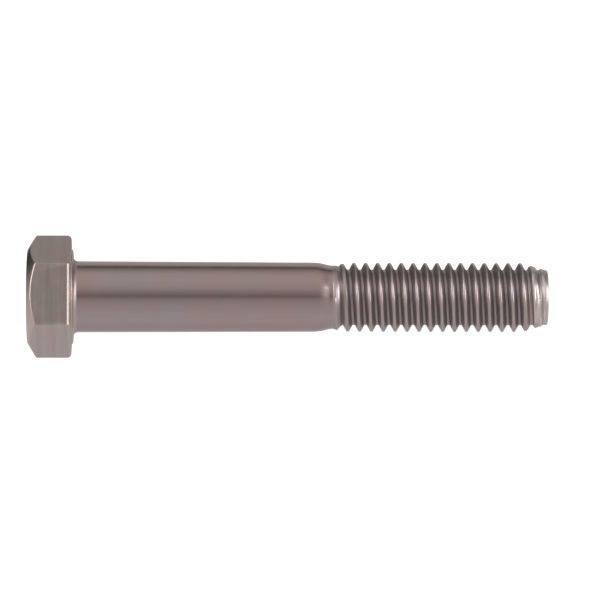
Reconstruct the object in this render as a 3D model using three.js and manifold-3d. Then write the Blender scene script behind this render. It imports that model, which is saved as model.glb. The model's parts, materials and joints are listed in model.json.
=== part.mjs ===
// Hex cap screw, 3/8-16 UNC x 2 1/2 inch, partly threaded, plain stainless steel.
//
// Units are millimetres. The screw lies along X: the flat top of its head is the plane X = 0,
// its axis is the X axis and its point is at +X. One wrench flat faces straight up (+Z), so two
// of the hexagon's corners lie at +Y and -Y.
//
// The real screw is one piece: a length of wire with a head formed on one end and a thread rolled
// onto the other. So this is one closed solid in one mesh.

import * as THREE from 'three';
import { ParametricGeometry } from 'three/addons/geometries/ParametricGeometry.js';
import { mergeVertices, toCreasedNormals } from 'three/addons/utils/BufferGeometryUtils.js';
import Module from 'manifold-3d';

const wasm = await Module();
wasm.setup();

// ---------------------------------------------------------------- driving dimensions

const inch = 25.4;

const head = {
	acrossFlats: 14.2,
	height: 6.1, // from the top of the head to the bearing face, washer face included
	cornerRadius: 0.3,
	topFlatRadius: 6.15, // where the chamfer of the corners begins
	chamferAngle: THREE.MathUtils.degToRad( 31 ), // measured up from the top of the head
	washerFaceRadius: 6.3,
	washerFaceHeight: 0.2,
};

const screw = {
	lengthUnderHead: 63.4, // nominally 2 1/2 inches
	filletRadius: 0.65, // between the bearing face and the body
};

const body = {
	radiusUnderHead: 4.73,
	radiusAtShoulder: 4.61, // the plain part is a little thinner away from the head
	plainLength: 32.0, // from the bearing face to where the shoulder begins
	shoulderLength: 2.7,
	neckRadius: 4.215,
};

const thread = {
	pitch: inch / 16,
	majorRadius: 4.6,
	minorRadius: 3.66,
	blankRadius: 4.205, // the wire's radius before the thread is rolled
	crestWidth: 0.2,
	rootWidth: 0.29,
	fadeStart: 34.4, // from the bearing face
	fadeLength: 2.2,
	crestOnSide: 37.49, // from the bearing face to the first full crest on the +Y side
};

const point = {
	endRadius: 3.62,
	halfAngle: THREE.MathUtils.degToRad( 16.5 ),
};

const roundSegments = 48; // around the head, the body and the fillet
const threadSegments = 36; // around one turn of the thread
const overlap = 1.5; // how far the joined solids run into one another

const bearingFace = head.height;
const tip = bearingFace + screw.lengthUnderHead;
const threadRodStart = bearingFace + body.plainLength + body.shoulderLength - overlap;
const threadRodEnd = tip + overlap;

// ---------------------------------------------------------------- helpers

// A closed three.js geometry as a Manifold solid.
function toSolid( geometry ) {

	geometry.deleteAttribute( 'normal' );
	geometry.deleteAttribute( 'uv' );
	const welded = mergeVertices( geometry, 1e-4 );
	const corners = welded.index.array;
	const triangles = [];
	for ( let i = 0; i < corners.length; i += 3 ) {

		const [ a, b, c ] = corners.slice( i, i + 3 );
		if ( a !== b && b !== c && c !== a ) triangles.push( a, b, c );

	}

	return new wasm.Manifold( new wasm.Mesh( {
		numProp: 3,
		vertProperties: welded.attributes.position.array,
		triVerts: new Uint32Array( triangles ),
	} ) );

}

// A Manifold solid as a three.js geometry, smooth where it is round and sharp at its edges.
function toGeometry( solid ) {

	const mesh = solid.getMesh();
	const geometry = new THREE.BufferGeometry();
	geometry.setAttribute( 'position', new THREE.BufferAttribute( mesh.vertProperties, 3 ) );
	geometry.setIndex( new THREE.BufferAttribute( mesh.triVerts, 1 ) );
	return toCreasedNormals( geometry, THREE.MathUtils.degToRad( 20 ) );

}

// A solid turned about the X axis. A point of the profile is (radius, X).
function turned( profile ) {

	const geometry = new THREE.LatheGeometry( profile, roundSegments );
	geometry.rotateZ( - Math.PI / 2 );
	return toSolid( geometry );

}

// ---------------------------------------------------------------- head

// The hexagon, with its flats at +X and -X of the drawing and slightly rounded corners.
function hexagon() {

	const cornerDistance = head.acrossFlats / Math.sqrt( 3 );
	const centreDistance = cornerDistance - head.cornerRadius * 2 / Math.sqrt( 3 );
	const halfTurnOfCorner = Math.PI / 6;
	const shape = new THREE.Shape();
	for ( let corner = 0; corner < 6; corner ++ ) {

		const angle = Math.PI / 6 + corner * Math.PI / 3;
		shape.absarc(
			centreDistance * Math.cos( angle ),
			centreDistance * Math.sin( angle ),
			head.cornerRadius,
			angle - halfTurnOfCorner,
			angle + halfTurnOfCorner,
		);

	}

	return shape;

}

// The hexagonal bar of the head, cut by a turned blank that gives the corners their chamfer.
function hexagonalHead() {

	const barLength = head.height - head.washerFaceHeight;
	const bar = new THREE.ExtrudeGeometry( hexagon(), { depth: barLength, bevelEnabled: false, curveSegments: 2 } );
	bar.rotateY( Math.PI / 2 );

	const blankRadius = head.acrossFlats / Math.sqrt( 3 ) + 1;
	const chamferDepth = ( blankRadius - head.topFlatRadius ) * Math.tan( head.chamferAngle );
	const blank = turned( [
		new THREE.Vector2( 0, 0 ),
		new THREE.Vector2( head.topFlatRadius, 0 ),
		new THREE.Vector2( blankRadius, chamferDepth ),
		new THREE.Vector2( blankRadius, barLength + 1 ),
		new THREE.Vector2( 0, barLength + 1 ),
	] );
	return toSolid( bar ).intersect( blank );

}

// ---------------------------------------------------------------- body

// Washer face, fillet, plain body and the shoulder down to the neck before the thread.
function plainBody() {

	const filletCentreRadius = body.radiusUnderHead + screw.filletRadius;
	const filletEnd = bearingFace + screw.filletRadius;
	const shoulderStart = bearingFace + body.plainLength;
	const neckEnd = shoulderStart + body.shoulderLength;
	const profile = new THREE.Path();
	profile.moveTo( 0, bearingFace - overlap );
	profile.lineTo( head.washerFaceRadius, bearingFace - overlap );
	profile.lineTo( head.washerFaceRadius, bearingFace );
	profile.lineTo( filletCentreRadius, bearingFace );
	profile.absarc( filletCentreRadius, filletEnd, screw.filletRadius, - Math.PI / 2, - Math.PI, true );
	profile.lineTo( body.radiusAtShoulder, shoulderStart );
	profile.bezierCurveTo(
		body.radiusAtShoulder, shoulderStart + 1.3,
		body.neckRadius + 0.01, shoulderStart + 1.9,
		body.neckRadius, neckEnd,
	);
	profile.lineTo( 0, neckEnd );
	return turned( profile.getPoints( 5 ) );

}

// ---------------------------------------------------------------- thread

// How much of the thread's form is there: none at the neck, all of it after the fade.
function threadForm( x ) {

	const start = bearingFace + thread.fadeStart;
	if ( x >= threadRodEnd ) return 0;
	return THREE.MathUtils.smoothstep( x, start, start + thread.fadeLength );

}

// One turn of the thread's section along the axis: where each corner lies and its radius.
function threadSection() {

	const halfCrest = thread.crestWidth / 2;
	const halfRoot = thread.rootWidth / 2;
	const middle = thread.pitch / 2;
	return [
		{ along: - halfCrest, radius: thread.majorRadius },
		{ along: halfCrest, radius: thread.majorRadius },
		{ along: middle - halfRoot, radius: thread.minorRadius },
		{ along: middle + halfRoot, radius: thread.minorRadius },
	];

}

// The threaded rod: its section is swept along a right-hand helix, row by row.
// The rows beyond either end are held on a flat end, and the first and last meet on the axis.
function threadedRod() {

	const section = threadSection();
	const turnsBefore = Math.ceil( ( thread.crestOnSide + bearingFace - threadRodStart ) / thread.pitch ) + 1;
	const turns = Math.ceil( ( threadRodEnd - threadRodStart ) / thread.pitch ) + 3;
	const rows = turns * section.length;
	const firstCrest = bearingFace + thread.crestOnSide - turnsBefore * thread.pitch;

	const rod = new ParametricGeometry( ( around, along, target ) => {

		const row = Math.round( along * rows );
		const corner = section[ row % section.length ];
		const turn = Math.floor( row / section.length ) + around;
		const x = THREE.MathUtils.clamp( firstCrest + turn * thread.pitch + corner.along, threadRodStart, threadRodEnd );
		const full = THREE.MathUtils.lerp( thread.blankRadius, corner.radius, threadForm( x ) );
		const radius = row === 0 || row === rows ? 0 : full;
		const angle = around * 2 * Math.PI;
		target.set( x, radius * Math.cos( angle ), radius * Math.sin( angle ) );

	}, threadSegments, rows );
	return toSolid( rod );

}

// The turned shape that the thread stays inside: a rod with the point's cone and flat end.
function pointEnvelope() {

	const clear = thread.majorRadius + 0.4;
	const coneStart = tip - ( clear - point.endRadius ) / Math.tan( point.halfAngle );
	return turned( [
		new THREE.Vector2( 0, threadRodStart - 1 ),
		new THREE.Vector2( clear, threadRodStart - 1 ),
		new THREE.Vector2( clear, coneStart ),
		new THREE.Vector2( point.endRadius, tip ),
		new THREE.Vector2( 0, tip ),
	] );

}

// ---------------------------------------------------------------- the screw

const stainlessSteel = new THREE.MeshStandardMaterial( {
	color: 0x8f837e,
	roughness: 0.34,
	metalness: 1,
} );

const threadedEnd = threadedRod().intersect( pointEnvelope() );
const whole = hexagonalHead().add( plainBody() ).add( threadedEnd );

const bolt = new THREE.Mesh( toGeometry( whole ), stainlessSteel );
bolt.name = 'hex_bolt';

const object = new THREE.Group();
object.add( bolt );

export default object;
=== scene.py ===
"""A stainless hex cap screw, 3/8-16 x 2 1/2 inch, lying on a pale studio floor.

The screw is one forging, so it is one closed mesh: a turned blank whose head is cut to a
hexagon, a thread rolled onto its reduced end, and a coned point. Everything is in metres.
The screw lies along +X from the flat top of its head, and one wrench flat faces +Z.
"""

import json
import logging
import math
from dataclasses import dataclass
from enum import Enum

import bmesh
import bpy
import numpy as np
from mathutils import Matrix, Vector, noise

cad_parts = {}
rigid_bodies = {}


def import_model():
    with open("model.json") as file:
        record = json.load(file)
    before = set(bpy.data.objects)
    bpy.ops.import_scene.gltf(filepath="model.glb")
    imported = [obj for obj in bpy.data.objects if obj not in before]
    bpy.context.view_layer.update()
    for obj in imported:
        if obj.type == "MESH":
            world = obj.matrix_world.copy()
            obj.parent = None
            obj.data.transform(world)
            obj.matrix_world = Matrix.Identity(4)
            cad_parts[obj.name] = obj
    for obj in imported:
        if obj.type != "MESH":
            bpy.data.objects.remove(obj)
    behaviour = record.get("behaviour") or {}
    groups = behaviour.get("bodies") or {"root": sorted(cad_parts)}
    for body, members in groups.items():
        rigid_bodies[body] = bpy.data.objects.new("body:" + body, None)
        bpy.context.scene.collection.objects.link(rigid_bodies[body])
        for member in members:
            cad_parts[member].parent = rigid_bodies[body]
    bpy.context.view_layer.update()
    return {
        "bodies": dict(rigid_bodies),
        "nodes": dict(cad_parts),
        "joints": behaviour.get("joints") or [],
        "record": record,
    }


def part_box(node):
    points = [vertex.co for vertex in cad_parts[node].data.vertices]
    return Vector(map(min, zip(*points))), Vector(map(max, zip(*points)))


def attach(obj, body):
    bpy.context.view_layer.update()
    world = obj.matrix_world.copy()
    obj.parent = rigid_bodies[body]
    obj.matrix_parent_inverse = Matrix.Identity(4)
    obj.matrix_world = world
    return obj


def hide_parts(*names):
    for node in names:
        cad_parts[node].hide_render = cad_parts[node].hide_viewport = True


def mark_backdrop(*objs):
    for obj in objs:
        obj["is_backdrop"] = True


MM = 0.001
NODE = "hex_bolt"
PIECE = "stainless_hex_bolt"
AROUND = 144
WELD = 2e-6
WHITE = (1.0, 1.0, 1.0, 1.0)
FLOOR_CONTACT = 3.4 * MM  # from the tip back to the crest that the screw rests on

log = logging.getLogger("hex_bolt")

ProfilePoint = tuple[float, float]
Colour = tuple[float, float, float]
Place = tuple[float, float, float]
Socket = bpy.types.NodeSocket


class Region(Enum):
    """The differently worked lengths of the screw, in the order of its material slots."""

    DULL = "dull_forged"
    HEAD = "forged_head"
    SHANK = "drawn_shank"
    THREAD = "rolled_thread"
    POINT = "sheared_point"


class EdgeKind(Enum):
    """The outer edges of the hexagon, which are rounded by different amounts."""

    CORNER = "corner line between two flats"
    ARC = "arc where the chamfer meets a flat"
    LOWER = "edge between a flat and the underside"


# ------------------------------------------------------------------------------ workbench


def pick(*pieces: bpy.types.Object) -> None:
    """Select these pieces and nothing else, the last of them active."""
    bpy.ops.object.select_all(action="DESELECT")
    for piece in pieces:
        piece.select_set(True)
        bpy.context.view_layer.objects.active = piece


def enter_edit(obj: bpy.types.Object, mode: str) -> bmesh.types.BMesh:
    """Open a piece in edit mode with nothing selected.

    Args:
        obj: The mesh object to open.
        mode: The kind of element to select with: VERT, EDGE or FACE.

    Returns:
        The mesh being edited.
    """
    pick(obj)
    bpy.ops.object.mode_set(mode="EDIT")
    bpy.ops.mesh.select_mode(type=mode)
    bpy.ops.mesh.select_all(action="DESELECT")
    return bmesh.from_edit_mesh(obj.data)


def leave_edit() -> None:
    """Close edit mode."""
    bpy.ops.object.mode_set(mode="OBJECT")


def weld(obj: bpy.types.Object, face_outward: bool = False) -> None:
    """Merge a piece's points where they meet.

    Args:
        obj: The mesh object to weld.
        face_outward: Whether its faces are then turned to face outward.
    """
    enter_edit(obj, "VERT")
    bpy.ops.mesh.select_all(action="SELECT")
    bpy.ops.mesh.remove_doubles(threshold=WELD)
    if face_outward:
        bpy.ops.mesh.normals_make_consistent(inside=False)
    leave_edit()


def draw_profile(name: str, points: list[ProfilePoint]) -> bpy.types.Object:
    """Draw a line of points by extruding one vertex from place to place.

    Args:
        name: The new object's name.
        points: The profile's points, each an X and a radius, drawn in the XY plane.

    Returns:
        The mesh object that holds the line.
    """
    pick()
    places = [Vector((x, radius, 0.0)) for x, radius in points]
    bpy.ops.mesh.primitive_plane_add(size=MM, location=places[0])
    obj = bpy.context.active_object
    obj.name = name
    obj.data.name = name
    bpy.ops.object.transform_apply(location=True, rotation=True, scale=True)
    bpy.ops.object.mode_set(mode="EDIT")
    bpy.ops.mesh.select_mode(type="VERT")
    bpy.ops.mesh.select_all(action="SELECT")
    bpy.ops.mesh.merge(type="CENTER")
    for here, there in zip(places, places[1:]):
        bpy.ops.mesh.extrude_region_move(TRANSFORM_OT_translate={"value": there - here})
    leave_edit()
    return obj


def apply_modifier(obj: bpy.types.Object, modifier: bpy.types.Modifier) -> None:
    """Apply one of the piece's modifiers to its mesh."""
    pick(obj)
    bpy.ops.object.modifier_apply(modifier=modifier.name)


def read_places(obj: bpy.types.Object) -> np.ndarray:
    """The places of a mesh's points, one row each."""
    places = np.empty(len(obj.data.vertices) * 3)
    obj.data.vertices.foreach_get("co", places)
    return places.reshape(-1, 3)


def store_share(obj: bpy.types.Object, name: str, shares: np.ndarray | list[float]) -> None:
    """Store a named number for each point of a mesh, for its finish to read."""
    attribute = obj.data.attributes.new(name=name, type="FLOAT", domain="POINT")
    attribute.data.foreach_set("value", shares)


def arc(
    centre: ProfilePoint, radius: float, start: float, end: float, steps: int
) -> list[ProfilePoint]:
    """Points along an arc in a profile.

    Args:
        centre: The arc's centre, as X and radius from the axis.
        radius: The arc's own radius.
        start: Its first direction in degrees, 0 towards +X and 90 away from the axis.
        end: Its last direction in degrees.
        steps: How many pieces the arc is made of.

    Returns:
        The points, both ends included.
    """
    turns = [math.radians(start + (end - start) * i / steps) for i in range(steps + 1)]
    return [(centre[0] + radius * math.cos(t), centre[1] + radius * math.sin(t)) for t in turns]


def smooth_fade(value: np.ndarray, start: float, end: float) -> np.ndarray:
    """The share that rises smoothly from 0 at start to 1 at end."""
    t = np.clip((value - start) / (end - start), 0.0, 1.0)
    return t * t * (3.0 - 2.0 * t)


def soft_minimum(one: np.ndarray, other: np.ndarray, softness: float) -> np.ndarray:
    """Take the lower of two surfaces and round the line where they meet.

    Args:
        one: The first radius.
        other: The second radius.
        softness: How wide the rounding is.

    Returns:
        The lower radius, a little lower still where both are equal.
    """
    lower = np.minimum(one, other)
    above = (np.exp(-(surface - lower) / softness) for surface in (one, other))
    return lower - softness * np.log(sum(above))


# ------------------------------------------------------------------------------ the screw


@dataclass(frozen=True)
class HexHead:
    """The forged head: a hexagon with chamfered corners over a thin washer face."""

    flat_distance: float
    bearing_face: float
    washer_face_height: float = 0.2 * MM
    washer_face_radius: float = 6.3 * MM
    washer_face_rounding: float = 0.12 * MM
    top_flat_radius: float = 6.24 * MM
    top_rounding: float = 0.35 * MM
    chamfer_angle: float = 31.0
    lower_edge_rounding: float = 0.55 * MM
    arc_share: float = 0.32
    corner_share: float = 0.05
    blank_radius: float = 9.0 * MM
    top_ring_share: float = 0.5
    top_rounding_steps: int = 4
    washer_rounding_steps: int = 3
    bevel_segments: int = 5
    sharp_from: float = 25.0
    lengthwise: float = 0.95

    @property
    def underside(self) -> float:
        """Where the hexagon ends and the washer face begins."""
        return self.bearing_face - self.washer_face_height

    def profile(self) -> list[ProfilePoint]:
        """The turned outline from the centre of the top to the inner edge of the bearing face."""
        chamfer = math.radians(self.chamfer_angle)
        top, edge = self.top_rounding, self.washer_face_rounding
        tangent = top * math.tan(chamfer / 2)
        chamfer_depth = math.tan(chamfer) * (self.blank_radius - self.top_flat_radius)
        corner = (top, self.top_flat_radius - tangent)
        brim = (self.bearing_face - edge, self.washer_face_radius - edge)
        return [
            (0.0, 0.0),
            (0.0, self.top_flat_radius * self.top_ring_share),
            *arc(corner, top, 180.0, 180.0 - self.chamfer_angle, self.top_rounding_steps),
            (chamfer_depth, self.blank_radius),
            (self.underside, self.blank_radius),
            (self.underside, self.washer_face_radius),
            *arc(brim, edge, 90.0, 0.0, self.washer_rounding_steps),
        ]

    def cut_flats(self, obj: bpy.types.Object) -> None:
        """Cut the six wrench flats out of the round blank.

        Args:
            obj: The turned blank.
        """
        enter_edit(obj, "FACE")
        for side in range(6):
            turn = math.radians(90.0 + 60.0 * side)
            outward = Vector((0.0, math.cos(turn), math.sin(turn)))
            bpy.ops.mesh.select_all(action="SELECT")
            bpy.ops.mesh.bisect(
                plane_co=outward * self.flat_distance,
                plane_no=outward,
                use_fill=True,
                clear_outer=True,
            )
        leave_edit()
        weld(obj)

    def round_edges(self, obj: bpy.types.Object) -> None:
        """Round the corner lines, the arcs of the chamfer and the lower edges of the flats.

        Args:
            obj: The blank with its flats cut.
        """
        shares = {
            EdgeKind.CORNER: self.corner_share,
            EdgeKind.ARC: self.arc_share,
            EdgeKind.LOWER: 1.0,
        }
        mesh = bmesh.new()
        mesh.from_mesh(obj.data)
        weight = mesh.edges.layers.float.new("bevel_weight_edge")
        for edge in mesh.edges:
            if self.is_sharp(edge):
                edge[weight] = shares[self.kind_of(edge)]
        mesh.to_mesh(obj.data)
        mesh.free()
        rounding = obj.modifiers.new("rounded_edges", "BEVEL")
        rounding.limit_method = "WEIGHT"
        rounding.width = self.lower_edge_rounding
        rounding.segments = self.bevel_segments
        rounding.use_clamp_overlap = False
        apply_modifier(obj, rounding)

    def is_sharp(self, edge: bmesh.types.BMEdge) -> bool:
        """Say whether an edge is one of the hexagon's sharp outer edges."""
        middle = (edge.verts[0].co + edge.verts[1].co) / 2
        if math.hypot(middle.y, middle.z) <= self.flat_distance - WELD or len(edge.link_faces) != 2:
            return False
        return edge.calc_face_angle() > math.radians(self.sharp_from)

    def kind_of(self, edge: bmesh.types.BMEdge) -> EdgeKind:
        """Say which of the hexagon's outer edges an edge belongs to."""
        run = edge.verts[1].co - edge.verts[0].co
        if abs(run.x) > self.lengthwise * run.length:
            return EdgeKind.CORNER
        return EdgeKind.LOWER if edge.verts[0].co.x > self.underside - WELD else EdgeKind.ARC


@dataclass(frozen=True)
class PlainShank:
    """The plain length: fillet under the head, drawn body, shoulder and neck."""

    bearing_face: float
    length: float = 34.6 * MM
    fillet_radius: float = 0.68 * MM
    radius_under_head: float = 4.745 * MM
    radius_at_shoulder: float = 4.63 * MM
    plain_length: float = 32.0 * MM
    neck_radius: float = 4.23 * MM
    shoulder_bend: float = 1.35 * MM
    neck_bend: float = 0.65 * MM
    neck_slope: float = 0.01 * MM
    fillet_steps: int = 8
    body_rings: int = 8
    shoulder_rings: int = 10

    @property
    def neck_end(self) -> float:
        """Where the plain length ends and the thread's run-out begins."""
        return self.bearing_face + self.length

    def shoulder_curve(self, share: float) -> ProfilePoint:
        """A point of the shoulder's curve.

        Args:
            share: How far along the curve, from 0 at the plain body to 1 at the neck.

        Returns:
            The point's X and radius.
        """
        start = self.bearing_face + self.plain_length
        ends = [
            (start, self.radius_at_shoulder),
            (start + self.shoulder_bend, self.radius_at_shoulder),
            (self.neck_end - self.neck_bend, self.neck_radius + self.neck_slope),
            (self.neck_end, self.neck_radius),
        ]
        rest = 1.0 - share
        weights = (rest**3, 3 * rest**2 * share, 3 * rest * share**2, share**3)
        x, radius = (sum(w * end[i] for w, end in zip(weights, ends)) for i in (0, 1))
        return (x, radius)

    def profile(self) -> list[ProfilePoint]:
        """The turned outline from the bearing face's inner edge to the neck."""
        fillet = self.fillet_radius
        centre = (self.bearing_face + fillet, self.radius_under_head + fillet)
        points = arc(centre, fillet, 180.0, 270.0, self.fillet_steps)
        shoulder = self.bearing_face + self.plain_length
        taper = self.radius_at_shoulder - self.radius_under_head
        for ring in range(1, self.body_rings):
            share = ring / self.body_rings
            x = centre[0] + (shoulder - centre[0]) * share
            points.append((x, self.radius_under_head + taper * share))
        steps = range(self.shoulder_rings + 1)
        return points + [self.shoulder_curve(step / self.shoulder_rings) for step in steps]


@dataclass(frozen=True)
class ConedPoint:
    """The end of the wire: a cone cut before the thread was rolled, and the sheared end face."""

    tip: float
    end_radius: float = 3.62 * MM
    half_angle: float = 16.5
    edge_rounding: float = 0.14 * MM
    softness: float = 0.03 * MM
    unevenness: float = 0.05 * MM
    lump_length: float = 0.5 * MM
    lumps_around: float = 2.6
    lump_fade: float = 0.4 * MM
    rim_steps: int = 4
    dish_depth: float = 0.06 * MM
    dish: tuple[ProfilePoint, ...] = ((0.0, 0.9), (0.4, 0.74), (1.0, 0.5), (1.0, 0.25))
    trimmed_depth: float = 0.12 * MM
    cone_length: float = 2.45 * MM

    @property
    def rim(self) -> float:
        """Where the cone ends and the rounded rim of the end face begins."""
        return self.tip - self.edge_rounding

    def cone_radius(self, x: np.ndarray) -> np.ndarray:
        """The cone's radius at each place along the axis."""
        return self.end_radius + (self.tip - x) * math.tan(math.radians(self.half_angle))

    def trim(self, x: np.ndarray, angle: np.ndarray, radius: np.ndarray) -> np.ndarray:
        """Hold the thread inside the cone, with the small lumps that rolling leaves on it.

        Args:
            x: Place along the axis of each point.
            angle: Turn about the axis of each point.
            radius: The thread's own radius there.

        Returns:
            The radius of the trimmed thread.
        """
        cone = self.cone_radius(x)
        along, around = x / self.lump_length, self.lumps_around
        ring = zip(along, around * np.cos(angle), around * np.sin(angle))
        lumps = np.array([noise.noise(Vector(place)) for place in ring])
        fading = smooth_fade(self.rim - x, 0.0, self.lump_fade)
        return soft_minimum(radius, cone + self.unevenness * lumps * fading, self.softness)

    def close_end(self, obj: bpy.types.Object) -> None:
        """Round the rim and close the end face with a shallow dish.

        Args:
            obj: The threaded rod, open at its far end.
        """
        mesh = enter_edit(obj, "EDGE")
        open_edges = (edge for edge in mesh.edges if edge.is_boundary)
        rim = [edge for edge in open_edges if edge.verts[0].co.x > self.rim - WELD]
        for edge in rim:
            edge.select = True
        bmesh.update_edit_mesh(obj.data)
        radius = math.hypot(rim[0].verts[0].co.y, rim[0].verts[0].co.z)
        rounding = self.edge_rounding
        turns = [math.radians(90.0 * (step + 1) / self.rim_steps) for step in range(self.rim_steps)]
        steps = [
            (self.rim + rounding * math.sin(turn), radius - rounding * (1 - math.cos(turn)))
            for turn in turns
        ]
        steps += [(self.tip - self.dish_depth * deep, radius * share) for deep, share in self.dish]
        place = (self.rim, radius)
        for step in steps:
            bpy.ops.mesh.extrude_region_move(
                TRANSFORM_OT_translate={"value": (step[0] - place[0], 0.0, 0.0)}
            )
            scale = step[1] / place[1]
            bpy.ops.transform.resize(
                value=(1.0, scale, scale), center_override=(step[0], 0.0, 0.0)
            )
            place = step
        bpy.ops.mesh.merge(type="CENTER")
        leave_edit()


@dataclass(frozen=True)
class RolledThread:
    """The rolled thread: a rounded 60 degree section carried along a right-hand helix."""

    bearing_face: float
    start: float
    point: ConedPoint
    pitch: float = 25.4 / 16 * MM
    major_radius: float = 4.63 * MM
    minor_radius: float = 3.69 * MM
    neck_radius: float = 4.23 * MM
    crest_rounding: float = 0.22 * MM
    root_rounding: float = 0.20 * MM
    root_flat: float = 0.045 * MM
    crest_on_side: float = 37.49 * MM
    crest_fade: tuple[float, float] = (34.7 * MM, 37.6 * MM)
    crest_growth: float = 0.6
    root_fade: tuple[float, float] = (35.05 * MM, 36.0 * MM)
    root_growth: float = 1.8
    run_out_softness: float = 0.02 * MM
    clearance: float = 0.1 * MM
    flank_angle: float = 60.0
    rounding_turns: tuple[float, ...] = (0.0, 20.0, 40.0)
    spare_turns: int = 3
    # heights from root (0) to crest (1) where shade is painted on the flanks: rising, full,
    # falling, gone
    flank_band: tuple[float, float, float, float] = (-0.12, 0.22, 0.40, 0.62)

    def section(self) -> list[float]:
        """Where the rows of one turn lie along the axis, measured from its crest."""
        turns = [math.radians(turn) for turn in (*self.rounding_turns, self.flank_angle)]
        middle = self.pitch / 2
        crest = [self.crest_rounding * math.sin(turn) for turn in turns]
        root = [middle - self.root_flat - self.root_rounding * math.sin(turn) for turn in turns]
        half = [*crest, (crest[-1] + root[-1]) / 2, *root[::-1], middle]
        return half + [self.pitch - along for along in half[-2::-1]]

    def form(self, along: np.ndarray) -> np.ndarray:
        """The full section's radius.

        Args:
            along: Distance from the nearest crest along the axis.

        Returns:
            The radius at each distance.
        """
        side = math.sin(math.radians(self.flank_angle))
        foot = math.cos(math.radians(self.flank_angle))
        crest, root = self.crest_rounding, self.root_rounding
        root_begins = self.pitch / 2 - self.root_flat
        across = np.abs(along)
        from_root = np.maximum(root_begins - across, 0.0)
        top = self.major_radius - crest + np.sqrt(np.maximum(crest**2 - across**2, 0.0))
        bottom = self.minor_radius + root - np.sqrt(np.maximum(root**2 - from_root**2, 0.0))
        crest_end = (crest * side, self.major_radius - crest + crest * foot)
        root_end = (root_begins - root * side, self.minor_radius + root - root * foot)
        share = (across - crest_end[0]) / (root_end[0] - crest_end[0])
        flank = crest_end[1] + (root_end[1] - crest_end[1]) * share
        lower = np.where(from_root < root * side, bottom, flank)
        return np.where(across < crest_end[0], top, lower)

    def radius_at(self, x: np.ndarray, angle: np.ndarray) -> np.ndarray:
        """The radius of the thread's surface.

        Args:
            x: Place along the axis.
            angle: Turn about the axis from +Y towards +Z.

        Returns:
            The radius at each place.
        """
        turn = (x - self.bearing_face - self.crest_on_side) / self.pitch - angle / (2 * math.pi)
        along = (turn - np.round(turn)) * self.pitch
        past = x - self.bearing_face
        limit = self.grown(past, self.crest_fade, self.crest_growth, self.major_radius)
        full_from = self.crest_fade[1]
        limit = limit + self.clearance * smooth_fade(past, full_from - self.pitch, full_from)
        floor = self.grown(past, self.root_fade, self.root_growth, self.minor_radius)
        section = self.form(along)
        raised = -soft_minimum(-section, -floor, self.run_out_softness)
        run_out = soft_minimum(raised, limit, self.run_out_softness)
        rolled = np.where(past > full_from, section, run_out)
        return self.point.trim(x, angle, rolled)

    def grown(
        self, past: np.ndarray, fade: tuple[float, float], growth: float, full: float
    ) -> np.ndarray:
        """A radius that leaves the neck's and is full at the fade's end; growth below 1 is fast."""
        share = np.clip((past - fade[0]) / (fade[1] - fade[0]), 0.0, 1.0) ** growth
        return self.neck_radius + (full - self.neck_radius) * share

    def roll(self) -> bpy.types.Object:
        """Carry the section round the helix and press the thread into the rod.

        Returns:
            The threaded rod, open at the neck and closed at the point.
        """
        turns = math.ceil((self.point.rim - self.start) / self.pitch) + self.spare_turns
        crest = self.bearing_face + self.crest_on_side
        first = crest - (math.ceil((crest - self.start) / self.pitch) + 1) * self.pitch
        profile = [(first + along, self.neck_radius) for along in self.section()]
        rod = draw_profile("threaded_rod", profile)
        helix = rod.modifiers.new("helix", "SCREW")
        helix.axis = "X"
        helix.angle = 2 * math.pi
        helix.screw_offset = self.pitch
        helix.iterations = turns
        helix.steps = AROUND
        helix.render_steps = AROUND
        helix.use_merge_vertices = True
        helix.merge_threshold = WELD
        apply_modifier(rod, helix)
        self.press(rod)
        weld(rod)
        self.point.close_end(rod)
        return rod

    def residue(self, x: np.ndarray, radius: np.ndarray) -> np.ndarray:
        """How much shade is painted onto the lower flanks of the thread's grooves.

        Args:
            x: Place along the axis of each point.
            radius: Its distance from the axis.

        Returns:
            The share, from 0 to 1 on the lower flanks.
        """
        height = (radius - self.minor_radius) / (self.major_radius - self.minor_radius)
        low, full, falling, high = self.flank_band
        share = smooth_fade(height, low, full) * (1.0 - smooth_fade(height, falling, high))
        begins = self.bearing_face + self.root_fade[0]
        threaded = smooth_fade(x, begins, begins + self.pitch)
        last_turn = self.point.rim - self.pitch
        return share * threaded * (1.0 - smooth_fade(x, last_turn - self.pitch, last_turn))

    def press(self, rod: bpy.types.Object) -> None:
        """Move every point of the rod onto the thread's surface, between its two end planes.

        Args:
            rod: The helical strip to shape.
        """
        places = read_places(rod)
        x = np.clip(places[:, 0], self.start, self.point.rim)
        step = 2 * math.pi / AROUND
        angle = np.round(np.arctan2(places[:, 2], places[:, 1]) / step) * step
        radius = self.radius_at(x, angle)
        radius = np.where(x >= self.point.rim, self.point.cone_radius(self.point.rim), radius)
        radius = np.where(x <= self.start, self.neck_radius, radius)
        shaped = np.stack([x, radius * np.cos(angle), radius * np.sin(angle)], axis=1)
        rod.data.vertices.foreach_set("co", shaped.ravel())
        rod.data.update()


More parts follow.
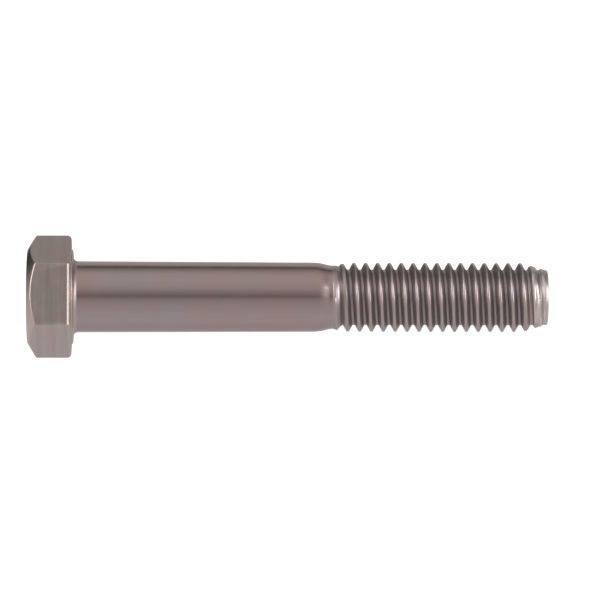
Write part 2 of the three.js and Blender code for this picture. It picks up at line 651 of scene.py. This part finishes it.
@dataclass
class StainlessBolt:
    """The whole screw, put together from its worked lengths as one closed mesh."""

    head: HexHead
    shank: PlainShank
    thread: RolledThread
    point: ConedPoint
    smooth_angle: float = 38.0
    flat_weight: int = 50
    worn_from: float = 8.0
    worn_range: float = 14.0
    facing_back: float = 0.95
    facing_end: float = 0.9
    dull_fillet_share: float = 0.9

    @classmethod
    def from_frame(cls, frame: dict) -> "StainlessBolt":
        """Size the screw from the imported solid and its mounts.


        Returns:
            The screw's sizes.
        """
        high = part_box(NODE)[1]
        mounts = {mount["name"]: mount for mount in frame["record"]["mounts"]}
        bearing_face = mounts["bearing_face"]["pos_m"][0]
        shank = PlainShank(bearing_face=bearing_face)
        point = ConedPoint(tip=high[0])
        return cls(
            head=HexHead(flat_distance=high[2], bearing_face=bearing_face),
            shank=shank,
            thread=RolledThread(bearing_face=bearing_face, start=shank.neck_end, point=point),
            point=point,
        )

    def turn_blank(self) -> bpy.types.Object:
        """Turn the head's blank, the shank and the neck about the axis.

        Returns:
            The turned blank, open at the neck.
        """
        blank = draw_profile(PIECE, self.head.profile() + self.shank.profile())
        enter_edit(blank, "VERT")
        bpy.ops.mesh.select_all(action="SELECT")
        bpy.ops.mesh.spin(
            steps=AROUND, angle=2 * math.pi, center=(0.0, 0.0, 0.0), axis=(1.0, 0.0, 0.0)
        )
        leave_edit()
        weld(blank)
        return blank

    def make(self) -> bpy.types.Object:
        """Make the screw's mesh.

        Returns:
            The finished piece, closed, with its faces outward.
        """
        bolt = self.turn_blank()
        self.head.cut_flats(bolt)
        self.head.round_edges(bolt)
        rod = self.thread.roll()
        pick(rod, bolt)
        bpy.ops.object.join()
        weld(bolt, face_outward=True)
        self.mark_worn_edges(bolt)
        self.mark_painted_groove_shade(bolt)
        self.smooth(bolt)
        return bolt

    def smooth(self, bolt: bpy.types.Object) -> None:
        """Shade the rounded faces smooth and keep the flats flat.

        Args:
            bolt: The closed mesh.
        """
        pick(bolt)
        bpy.ops.object.shade_smooth_by_angle(angle=math.radians(self.smooth_angle))
        weighted = bolt.modifiers.new("flat_faces", "WEIGHTED_NORMAL")
        weighted.keep_sharp = True
        weighted.weight = self.flat_weight
        apply_modifier(bolt, weighted)

    def mark_painted_groove_shade(self, bolt: bpy.types.Object) -> None:
        """Store where shade is painted: on the lower flanks of the thread."""
        x, y, z = read_places(bolt).T
        # the share of painted shade on the lower thread flanks
        store_share(bolt, "residue", self.thread.residue(x, np.hypot(y, z)))

    def mark_worn_edges(self, bolt: bpy.types.Object) -> None:
        """Store how exposed each point is, from 0 on a face or in a root to 1 on an edge.

        Args:
            bolt: The closed mesh.
        """
        mesh = bmesh.new()
        mesh.from_mesh(bolt.data)
        start, span = math.radians(self.worn_from), math.radians(self.worn_range)
        exposed = []
        for vert in mesh.verts:
            edges = (edge for edge in vert.link_edges if len(edge.link_faces) == 2)
            bend = max((edge.calc_face_angle_signed() for edge in edges), default=0.0)
            exposed.append(min(1.0, max(0.0, (bend - start) / span)))
        mesh.free()
        store_share(bolt, "worn_edge", exposed)

    def dress(self, bolt: bpy.types.Object) -> None:
        """Give each worked length its own finish.

        Args:
            bolt: The closed mesh.
        """
        groups = SteelGroups(worked_grain_group(), handling_marks_group(), tone_drift_group())
        bolt.data.materials.clear()
        for region in Region:
            bolt.data.materials.append(FINISHES[region].material(region.value, groups))
        order = list(Region)
        for face in bolt.data.polygons:
            face.material_index = order.index(self.region_of(face.center, face.normal))

    def region_of(self, place: Vector, outward: Vector) -> Region:
        """Say which worked length a face belongs to.

        Args:
            place: The face's centre.
            outward: The face's normal.

        Returns:
            The region.
        """
        bearing_face = self.head.bearing_face
        dull_to = bearing_face + self.shank.fillet_radius * self.dull_fillet_share
        if outward.x < -self.facing_back or bearing_face + WELD < place.x < dull_to:
            return Region.DULL
        if place.x < dull_to:
            return Region.HEAD
        if place.x < self.shank.neck_end:
            return Region.SHANK
        if outward.x > self.facing_end:
            return Region.POINT
        from_axis = math.hypot(place.y, place.z)
        on_cone = from_axis > self.point.cone_radius(place.x) - self.point.trimmed_depth
        if on_cone and place.x > self.point.tip - self.point.cone_length:
            return Region.POINT
        return Region.THREAD


# ------------------------------------------------------------------------------ finishes

MIX_UNDER, MIX_OVER, MIX_RESULT = 6, 7, 2  # the colour sockets of a Mix node
NOISE_ROUGHNESS = 0.6
FINE_GRAIN, COARSE_GRAIN = (9.0, 3.0), (1.3, 2.0)  # each the noise's lumps per mm and its detail
NICK_SIZE, RUB, TONE_PATCHES = (2.4, 2.0), (0.5, 4.0), (0.16, 2.0)
NICKS_PER_MM = 0.55
NICK_REACH = 0.55
NICK_EDGE = 9.0
TONE_RANGE = (0.35, 0.65)

class NodeMaker:
    """Adds nodes to one shader tree and joins them."""

    def __init__(self, tree: bpy.types.NodeTree) -> None:
        """Work in the given tree, emptied first."""
        self.tree = tree
        tree.nodes.clear()

    def node(
        self, kind: str, inputs: dict[object, object] | None = None, **settings: object
    ) -> bpy.types.Node:
        """Add a node.

        Args:
            kind: The node's type.
            inputs: A plain value or another node's socket for each input, by name or number.
            settings: The node's own properties.

        Returns:
            The node.
        """
        made = self.tree.nodes.new(kind)
        for name, value in settings.items():
            setattr(made, name, value)
        for key, value in (inputs or {}).items():
            if isinstance(value, Socket):
                self.tree.links.new(value, made.inputs[key])
            else:
                made.inputs[key].default_value = value
        return made

    def math(self, operation: str, *values: object, clamp: bool = False) -> Socket:
        """Add a math node.

        Args:
            operation: The node's operation.
            values: A number or a socket for each input.
            clamp: Whether the result is held between 0 and 1.

        Returns:
            The result's socket.
        """
        inputs = dict(enumerate(values))
        made = self.node("ShaderNodeMath", inputs, operation=operation, use_clamp=clamp)
        return made.outputs[0]

    def total(self, *parts: object) -> Socket:
        """Add several parts, one after another.

        Args:
            parts: Each a number, a socket, or a pair of a socket and the share of it that counts.

        Returns:
            The sum's socket.
        """
        whole: object = None
        for part in parts:
            part = self.math("MULTIPLY", *part) if isinstance(part, tuple) else part
            whole = part if whole is None else self.math("ADD", whole, part)
        return whole

    def blend(self, share: Socket, under: Socket, over: object) -> Socket:
        """Lay one colour over another by a share.

        Args:
            share: How much of the upper colour shows.
            under: The lower colour's socket.
            over: The upper colour, a socket or a plain colour.

        Returns:
            The mixed colour's socket.
        """
        over = (*over, 1.0) if isinstance(over, tuple) else over
        inputs = {"Factor": share, MIX_UNDER: under, MIX_OVER: over}
        return self.node("ShaderNodeMix", inputs, data_type="RGBA").outputs[MIX_RESULT]

    def scaled(self, vector: Socket, *factors: object) -> Socket:
        """Multiply a vector by three numbers or sockets, one for each axis."""
        parts = self.node("ShaderNodeCombineXYZ", dict(enumerate(factors)))
        inputs = {0: vector, 1: parts.outputs[0]}
        return self.node("ShaderNodeVectorMath", inputs, operation="MULTIPLY").outputs[0]

    def noise(self, vector: Socket, scale: float, detail: float) -> Socket:
        """Add a noise texture and return its value."""
        inputs = {"Vector": vector, "Scale": scale, "Detail": detail, "Roughness": NOISE_ROUGHNESS}
        return self.node("ShaderNodeTexNoise", inputs).outputs[0]

    def swing(self, vector: Socket, scale: float, detail: float) -> Socket:
        """Add a noise texture and return its value less a half, so that it swings about 0."""
        return self.math("SUBTRACT", self.noise(vector, scale, detail), 0.5)

    def attribute(self, name: str) -> Socket:
        """Read a number stored on the mesh."""
        return self.node("ShaderNodeAttribute", attribute_name=name).outputs["Fac"]

    def placed(
        self, group: bpy.types.NodeTree, inputs: dict[str, object]
    ) -> bpy.types.bpy_prop_collection:
        """Place a node group with its own values and return its outputs."""
        return self.node("ShaderNodeGroup", inputs, node_tree=group).outputs


class GroupMaker(NodeMaker):
    """Builds one shader node group."""

    def __init__(self, name: str, inputs: dict[str, str], outputs: dict[str, str]) -> None:
        """Start a group with its sockets.

        Args:
            name: The group's name.
            inputs: The type of each named input: Float, Vector or Color.
            outputs: The type of each named output.
        """
        super().__init__(bpy.data.node_groups.new(name, "ShaderNodeTree"))
        for side, sockets in (("INPUT", inputs), ("OUTPUT", outputs)):
            for socket, kind in sockets.items():
                socket_type = f"NodeSocket{kind}"
                self.tree.interface.new_socket(socket, in_out=side, socket_type=socket_type)
        self.entry = self.node("NodeGroupInput").outputs

    def finish(self, outputs: dict[str, Socket]) -> bpy.types.NodeTree:
        """Join the results to the group's outputs and return the group."""
        self.node("NodeGroupOutput", outputs)
        return self.tree


def worked_grain_group() -> bpy.types.NodeTree:
    """Lines left by drawing, rolling or forging, fine and coarse together.

    Returns:
        The node group: its lines run along whichever direction has the small factor.
    """
    group = GroupMaker(
        "worked_grain",
        {"Vector": "Vector", "Along X": "Float", "Across X": "Float", "Coarse Share": "Float"},
        {"Height": "Float", "Shade": "Float"},
    )
    entry = group.entry
    across, coarse_share = entry["Across X"], entry["Coarse Share"]
    stretched = group.scaled(entry["Vector"], entry["Along X"], across, across)
    fine_share = group.math("SUBTRACT", 1.0, coarse_share)
    height = group.total(
        (group.swing(stretched, *FINE_GRAIN), fine_share),
        (group.swing(stretched, *COARSE_GRAIN), coarse_share),
    )
    return group.finish({"Height": height, "Shade": group.math("MULTIPLY", height, 2.0)})


def handling_marks_group() -> bpy.types.NodeTree:
    """Small nicks and rubs from a bolt's life in a bin.

    Returns:
        The node group, whose Mark is 1 in a nick.
    """
    group = GroupMaker(
        "handling_marks",
        {"Vector": "Vector", "Amount": "Float"},
        {"Mark": "Float", "Rub": "Float"},
    )
    vector = group.entry["Vector"]
    cells = group.node("ShaderNodeTexVoronoi", {"Vector": vector, "Scale": NICKS_PER_MM})
    size = group.math("MULTIPLY", group.noise(vector, *NICK_SIZE), group.entry["Amount"])
    reach = group.math("MULTIPLY", size, NICK_REACH)
    inside = group.math("SUBTRACT", reach, cells.outputs["Distance"])
    mark = group.math("MULTIPLY", inside, NICK_EDGE, clamp=True)
    rub = group.math("MULTIPLY", group.swing(vector, *RUB), 2.0)
    return group.finish({"Mark": mark, "Rub": rub})


def tone_drift_group() -> bpy.types.NodeTree:
    """Slow change between the warm and the cool tone of the steel.

    Returns:
        The node group, whose Colour goes to the base colour.
    """
    group = GroupMaker(
        "tone_drift",
        {"Vector": "Vector", "Warm": "Color", "Cool": "Color", "Size": "Float"},
        {"Colour": "Color"},
    )
    entry = group.entry
    size = entry["Size"]
    patches = group.noise(group.scaled(entry["Vector"], size, size, size), *TONE_PATCHES)
    low, high = TONE_RANGE
    ramp = group.node("ShaderNodeMapRange", {"Value": patches, "From Min": low, "From Max": high})
    return group.finish({"Colour": group.blend(ramp.outputs[0], entry["Warm"], entry["Cool"])})


@dataclass(frozen=True)
class SteelGroups:
    """The shader node groups that every finish places with its own values."""

    grain: bpy.types.NodeTree
    marks: bpy.types.NodeTree
    tones: bpy.types.NodeTree


@dataclass(frozen=True)
class SteelFinish:
    """Bare stainless steel as one way of working leaves it."""

    warm: Colour = (0.625, 0.45, 0.425)
    cool: Colour = (0.58, 0.475, 0.465)
    tone_size: float = 1.0
    roughness: float = 0.25
    roughness_change: float = 0.10
    grain_along: float = 0.03
    grain_across: float = 1.0
    coarse_share: float = 0.4
    grain_shade: float = 0.12
    grain_height: float = 0.004 * MM
    marks: float = 0.5
    mark_shade: float = -0.18
    mark_roughness: float = 0.15
    rub_roughness: float = 0.08
    edge_brightness: float = 0.25
    edge_roughness: float = -0.06
    # painted shade: the colour laid over the thread's lower flanks, and the roughness added there
    painted_groove_shade_tone: Colour = (0.30, 0.28, 0.275)
    painted_groove_shade_roughness: float = 0.0

    def material(self, name: str, groups: SteelGroups) -> bpy.types.Material:
        """Build the material.

        Args:
            name: The material's name.
            groups: The node groups to place.

        Returns:
            The procedural material. It reads Object coordinates and the piece's worn_edge and
            residue attributes; the second paints shade onto the thread's lower flanks.
        """
        made = bpy.data.materials.new(name)
        made.use_nodes = True
        made.diffuse_color = (*self.warm, 1.0)
        maker = NodeMaker(made.node_tree)
        coordinates = maker.node("ShaderNodeTexCoord").outputs["Object"]
        place = maker.scaled(coordinates, 1 / MM, 1 / MM, 1 / MM)
        lines = {
            "Vector": place,
            "Along X": self.grain_along,
            "Across X": self.grain_across,
            "Coarse Share": self.coarse_share,
        }
        drift = {
            "Vector": place,
            "Warm": (*self.warm, 1.0),
            "Cool": (*self.cool, 1.0),
            "Size": self.tone_size,
        }
        grain = maker.placed(groups.grain, lines)
        tones = maker.placed(groups.tones, drift)
        marks = maker.placed(groups.marks, {"Vector": place, "Amount": self.marks})
        # the second attribute says where shade is painted on the thread's lower flanks
        worn, residue = maker.attribute("worn_edge"), maker.attribute("residue")
        shade = maker.total(
            (grain["Shade"], self.grain_shade),
            1.0,
            (worn, self.edge_brightness),
            (marks["Mark"], self.mark_shade),
        )
        inputs = {0: tones["Colour"], "Scale": shade}
        tinted = maker.node("ShaderNodeVectorMath", inputs, operation="SCALE").outputs[0]
        roughness = maker.total(
            (grain["Shade"], self.roughness_change),
            (marks["Rub"], self.rub_roughness),
            (marks["Mark"], self.mark_roughness),
            (worn, self.edge_roughness),
            (residue, self.painted_groove_shade_roughness),
            self.roughness,
        )
        height = maker.math("SUBTRACT", grain["Height"], marks["Mark"])
        relief = {"Strength": 1.0, "Distance": self.grain_height, "Height": height}
        # the base colour carries painted shade on the thread's lower flanks
        surface = {
            "Metallic": 1.0,
            "Base Color": maker.blend(residue, tinted, self.painted_groove_shade_tone),
            "Roughness": roughness,
            "Normal": maker.node("ShaderNodeBump", relief).outputs[0],
        }
        shader = maker.node("ShaderNodeBsdfPrincipled", surface)
        maker.node("ShaderNodeOutputMaterial", {"Surface": shader.outputs[0]})
        return made


FINISHES: dict[Region, SteelFinish] = {
    Region.DULL: SteelFinish(
        warm=(0.73, 0.59, 0.545),
        cool=(0.69, 0.60, 0.565),
        roughness=0.45,
        grain_along=0.6,
        grain_across=0.6,
        coarse_share=0.6,
        grain_height=0.02 * MM,
    ),
    Region.HEAD: SteelFinish(
        warm=(0.745, 0.575, 0.53),
        cool=(0.695, 0.61, 0.555),
        tone_size=2.0,
        roughness=0.31,
        grain_along=0.15,
        grain_across=0.006,
        coarse_share=0.5,
        grain_shade=0.40,
        grain_height=0.05 * MM,
        edge_brightness=0.10,
        edge_roughness=0.12,
        marks=0.0,
    ),
    Region.SHANK: SteelFinish(
        roughness=0.18,
        grain_along=0.02,
        grain_across=1.6,
        grain_shade=0.10,
        grain_height=0.0015 * MM,
        marks=0.0,
    ),
    Region.THREAD: SteelFinish(
        warm=(0.65, 0.51, 0.47),
        cool=(0.59, 0.505, 0.50),
        tone_size=2.0,
        roughness=0.36,
        grain_along=2.2,
        grain_across=0.12,
        grain_shade=0.14,
        edge_brightness=0.12,
        marks=0.3,
        # rougher where shade is painted on the lower flanks
        painted_groove_shade_roughness=0.12,
    ),
    Region.POINT: SteelFinish(
        warm=(0.87, 0.73, 0.67),
        cool=(0.81, 0.72, 0.69),
        roughness=0.36,
        grain_along=2.2,
        grain_across=0.25,
        coarse_share=0.9,
        grain_shade=0.6,
        grain_height=0.07 * MM,
        marks=0.6,
    ),
}


# ------------------------------------------------------------------------------ studio


@dataclass(frozen=True)
class TentPanel:
    """One step of the light tent round the screw's axis."""

    angle: float
    brightness: float
    tint: Colour = (1.0, 1.0, 1.0)


def tent_ring(*panels: tuple) -> tuple[TentPanel, ...]:
    """The panels of one ring, each an angle in degrees, a brightness and perhaps a tint."""
    return tuple(TentPanel(*panel) for panel in panels)


@dataclass(frozen=True)
class SoftBox:
    """One soft box beyond an end of the screw, facing its middle."""

    name: str
    side: float
    tilt: float
    lean: float
    radiance: float
    width: float = 0.70
    height: float = 0.34
    distance: float = 0.9
    tint: Colour = (0.95, 0.975, 1.05)

    def hang(self, centre: Vector) -> None:
        """Hang it facing the screw's middle, unseen by the camera itself.

        Args:
            centre: The screw's middle.
        """
        light = bpy.data.lights.new(self.name, "AREA")
        light.shape = "RECTANGLE"
        light.size, light.size_y = self.width, self.height
        light.energy = self.radiance * math.pi * self.width * self.height
        light.color = self.tint
        tilt, lean = math.radians(self.tilt), math.radians(self.lean)
        across = math.cos(tilt)
        way = Vector(
            (self.side * math.sin(tilt), across * math.sin(lean), across * math.cos(lean))
        )
        box = bpy.data.objects.new(self.name, light)
        bpy.context.scene.collection.objects.link(box)
        box.location = centre + way * self.distance
        box.rotation_euler = (-way).to_track_quat("-Z", "Y").to_euler()
        box.visible_camera = False


PINK = (1.0, 0.97, 1.03)
MAUVE = (0.97, 1.0, 1.06)
AMBER = (1.03, 1.0, 0.96)


@dataclass(frozen=True)
class Studio:
    """The pale floor, the light tent round it and two soft boxes beyond the screw's ends."""

    floor_at_head: ProfilePoint
    floor_at_point: ProfilePoint
    floor_size: float = 6.0
    floor_glow: float = 0.80
    floor_diffuse: float = 0.8
    floor_roughness: float = 0.9
    panels: tuple[TentPanel, ...] = tent_ring(
        (-180, 0.45), (-127, 0.44, PINK), (-83, 0.50, MAUVE), (-45, 0.45, MAUVE), (-28, 0.40),
        (-16, 0.36), (-9, 0.31), (-4, 0.24), (0, 0.155, AMBER), (4, 0.24), (10, 0.29), (17, 0.33),
        (25, 0.41), (55, 0.49), (75, 0.47), (85, 0.42), (92, 0.34), (102, 0.26), (108, 0.13),
        (116, 0.12), (122, 0.38), (130, 0.42), (180, 0.45),
    )
    end_panels: tuple[TentPanel, ...] = tent_ring(
        (-180, 0.48), (-173, 0.50), (-166, 0.60), (-158, 0.54), (-140, 0.48), (-10, 0.42),
        (6, 0.75), (40, 0.60), (70, 0.10), (145, 0.08), (161, 0.39), (168, 0.40), (174, 0.46),
        (180, 0.48),
    )
    end_wall_from: float = 0.30
    end_wall_full: float = 0.62
    soft_boxes: tuple[SoftBox, ...] = (
        SoftBox("soft_box_head_end", side=-1.0, tilt=48.0, lean=35.0, radiance=2.3),
        SoftBox("soft_box_point_end", side=1.0, tilt=48.5, lean=20.0, radiance=2.7),
    )
    centre: Place = (0.035, 0.0, 0.0)
    dark_corner: Place = (-0.572, 0.262, -0.777)
    dark_corner_cosines: tuple[float, float] = (0.935, 0.985)
    dark_corner_tint: Colour = (0.02, 0.035, 0.03)

    def lay_floor(self) -> bpy.types.Object:
        """Lay the floor under the head's lower edge and the thread's end.

        Returns:
            Nothing; the floor is marked as backdrop.
        """
        pick()
        run = self.floor_at_point[0] - self.floor_at_head[0]
        rise = self.floor_at_point[1] - self.floor_at_head[1]
        bpy.ops.mesh.primitive_plane_add(size=self.floor_size)
        floor = bpy.context.active_object
        floor.name = "studio_floor"
        middle = (Vector((*self.floor_at_head, 0.0)) + Vector((*self.floor_at_point, 0.0))) / 2
        slope = Matrix.Rotation(-math.atan2(rise, run), 4, "Y")
        floor.matrix_world = Matrix.Translation((middle.x, 0.0, middle.y)) @ slope
        pick(floor)
        bpy.ops.object.transform_apply(location=True, rotation=True, scale=True)
        floor.visible_glossy = False
        floor.data.materials.append(self.floor_material())
        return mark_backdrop(floor)

    def floor_material(self) -> bpy.types.Material:
        """Pale sheet that glows a little, so that its shadows stay faint."""
        made = bpy.data.materials.new("pale_sheet")
        made.use_nodes = True
        maker = NodeMaker(made.node_tree)
        sheet = {
            "Base Color": (*(self.floor_diffuse,) * 3, 1.0),
            "Roughness": self.floor_roughness,
            "Specular IOR Level": 0.0,
            "Emission Color": WHITE,
            "Emission Strength": self.floor_glow,
        }
        shader = maker.node("ShaderNodeBsdfPrincipled", sheet)
        maker.node("ShaderNodeOutputMaterial", {"Surface": shader.outputs[0]})
        return made

    def raise_tent(self) -> None:
        """Build the world: panels of light round the X axis, plain white behind the floor."""
        world = bpy.data.worlds.new("light_tent")
        bpy.context.scene.world = world
        world.use_nodes = True
        maker = NodeMaker(world.node_tree)
        direction = maker.node("ShaderNodeTexCoord").outputs["Generated"]
        parts = maker.node("ShaderNodeSeparateXYZ", {0: direction}).outputs
        turn = maker.math("ARCTAN2", parts["Y"], parts["Z"])
        share = maker.math("MULTIPLY_ADD", turn, 1 / (2 * math.pi), 0.5)
        endwards = maker.math("ABSOLUTE", parts["X"])
        wall = self.soften(maker, endwards, self.end_wall_from, self.end_wall_full)
        middle = self.ring(maker, share, self.panels)
        lit = maker.blend(wall, middle, self.ring(maker, share, self.end_panels))
        inputs = {0: direction, 1: Vector(self.dark_corner).normalized()}
        toward = maker.node("ShaderNodeVectorMath", inputs, operation="DOT_PRODUCT")
        corner = self.soften(maker, toward.outputs["Value"], *self.dark_corner_cosines)
        lit = maker.blend(corner, lit, self.dark_corner_tint)
        choice = {
            0: maker.node("ShaderNodeLightPath").outputs["Is Camera Ray"],
            1: maker.node("ShaderNodeBackground", {"Color": lit}).outputs[0],
            2: maker.node("ShaderNodeBackground", {"Color": WHITE}).outputs[0],
        }
        shown = maker.node("ShaderNodeMixShader", choice).outputs[0]
        maker.node("ShaderNodeOutputWorld", {"Surface": shown})

    @staticmethod
    def ring(maker: NodeMaker, share: Socket, panels: tuple[TentPanel, ...]) -> Socket:
        """Lay panels round the axis as one colour ramp.

        Args:
            maker: The world's node maker.
            share: Where round the axis, from 0 to 1.
            panels: The panels in the order of their angles.

        Returns:
            The ring's colour.
        """
        ramp = maker.node("ShaderNodeValToRGB", {0: share})
        stops = ramp.color_ramp.elements
        while len(stops) > 1:
            stops.remove(stops[-1])
        for index, panel in enumerate(panels):
            position = panel.angle / 360.0 + 0.5
            stop = stops[0] if index == 0 else stops.new(position)
            stop.position = position
            stop.color = (*(panel.brightness * part for part in panel.tint), 1.0)
        return ramp.outputs[0]

    @staticmethod
    def soften(maker: NodeMaker, value: Socket, start: float, end: float) -> Socket:
        """Turn a value into a share that rises smoothly from 0 at start to 1 at end."""
        inputs = {"Value": value, "From Min": start, "From Max": end}
        return maker.node("ShaderNodeMapRange", inputs, interpolation_type="SMOOTHSTEP").outputs[0]

    def light(self) -> None:
        """Raise the tent and hang the soft boxes beyond the head and beyond the point."""
        self.raise_tent()
        for soft_box in self.soft_boxes:
            soft_box.hang(Vector(self.centre))
        view = bpy.context.scene.view_settings
        view.view_transform = "Standard"
        view.look = "None"


@dataclass(frozen=True)
class Viewpoint:
    """A long lens nearly straight above the screw."""

    target: Place = (36.412 * MM, -0.384 * MM, 0.0)
    distance: float = 697.0 * MM
    field_width: float = 80.23 * MM
    sensor_width: float = 36.0
    elevation: float = 87.355
    lean_to_head: float = 0.833
    roll: float = 0.116
    clip_start: float = 0.01
    clip_end: float = 20.0

    def place(self) -> bpy.types.Object:
        """Put the camera in place and make it the scene's camera.

        Returns:
            The camera.
        """
        data = bpy.data.cameras.new("studio_camera")
        data.sensor_width = self.sensor_width
        data.lens = self.sensor_width * self.distance / self.field_width
        data.clip_start, data.clip_end = self.clip_start, self.clip_end
        camera = bpy.data.objects.new("studio_camera", data)
        bpy.context.scene.collection.objects.link(camera)
        lean, rise = math.radians(self.lean_to_head), math.radians(self.elevation)
        ahead = math.cos(lean)
        back = Vector((-math.sin(lean), -math.cos(rise) * ahead, math.sin(rise) * ahead))
        right = (Vector((1.0, 0.0, 0.0)) - back * back.x).normalized()
        up = back.cross(right)
        turned = Matrix((right, up, back)).transposed().to_4x4()
        rolled = turned @ Matrix.Rotation(math.radians(self.roll), 4, "Z")
        place = Vector(self.target) + back * self.distance
        camera.matrix_world = Matrix.Translation(place) @ rolled
        bpy.context.scene.camera = camera
        return camera


# ------------------------------------------------------------------------------ the scene


def main() -> None:
    """Build the screw, its finish, the studio and the view, and report each piece."""
    logging.basicConfig(level=logging.INFO, format="%(message)s")
    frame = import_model()

    screw = StainlessBolt.from_frame(frame)
    bolt = screw.make()
    screw.dress(bolt)
    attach(bolt, "root")
    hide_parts(NODE)
    log.info("%s: %d faces", bolt.name, len(bolt.data.polygons))

    studio = Studio(
        floor_at_head=(screw.head.underside, -screw.head.flat_distance),
        floor_at_point=(screw.point.tip - FLOOR_CONTACT, -screw.thread.major_radius),
    )
    studio.lay_floor()
    studio.light()
    Viewpoint().place()


if __name__ == "__main__":
    main()
